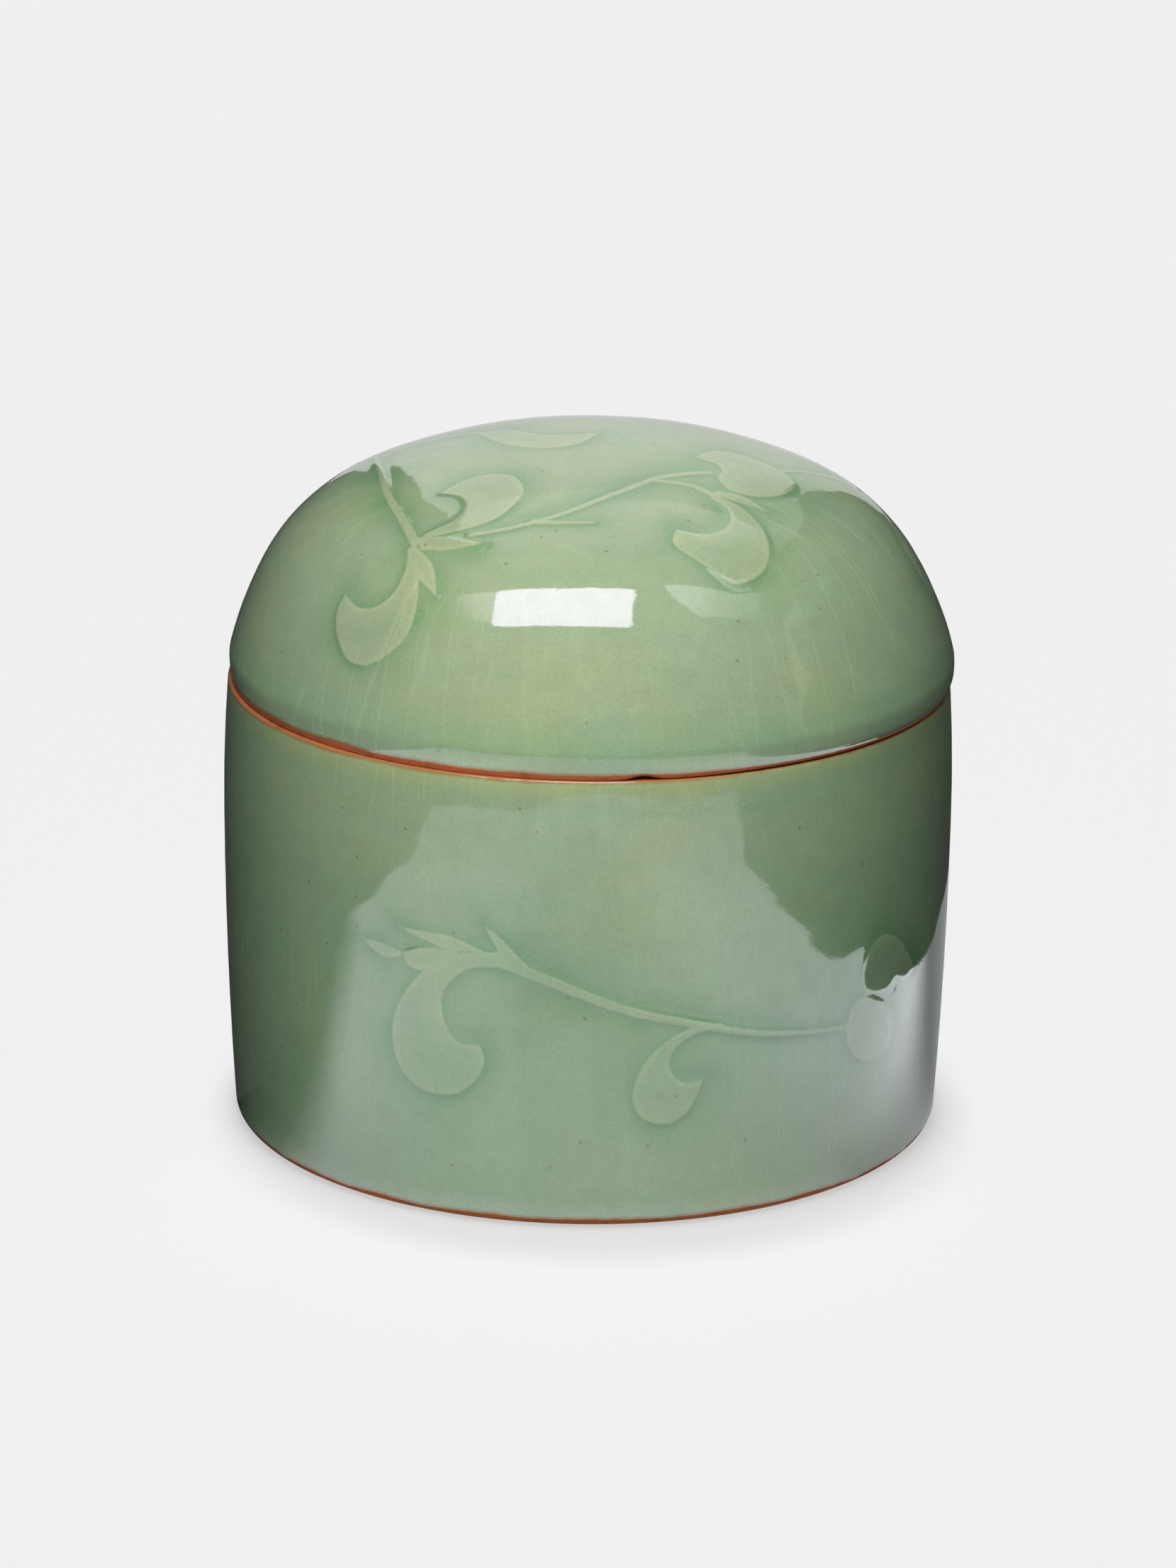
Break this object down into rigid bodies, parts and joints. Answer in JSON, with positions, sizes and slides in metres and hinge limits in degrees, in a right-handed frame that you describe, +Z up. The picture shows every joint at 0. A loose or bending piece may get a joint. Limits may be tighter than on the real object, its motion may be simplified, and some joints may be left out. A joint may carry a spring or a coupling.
{
  "type": "lidded rice bowl",
  "caption": "Lidded rice bowl: a near-cylindrical glazed bowl on a foot ring, and a loose domed lid with a locating collar.",
  "frame": {"origin": "centre of the plane that the foot ring stands on", "axes": "+Z up, along the axis the bowl was thrown and turned about; +X to the right of the carved sprigs' main side, which faces -Y"},
  "size_m": [0.111, 0.111, 0.1062],
  "materials": {
    "bowl_glaze": "glossy celadon glaze over stoneware, bare on the foot ring and the rim",
    "lid_glaze": "glossy celadon glaze over stoneware, bare on the rim and the collar"
  },
  "bodies": {
    "bowl": {"bowl": "bowl_glaze"},
    "lid": {"lid": "lid_glaze"}
  },
  "joints": [
    {"name": "lid_lift", "type": "slide", "parent": "bowl", "child": "lid", "axis": [0, 0, 1], "range_m": [0, 0.08]}
  ]
}
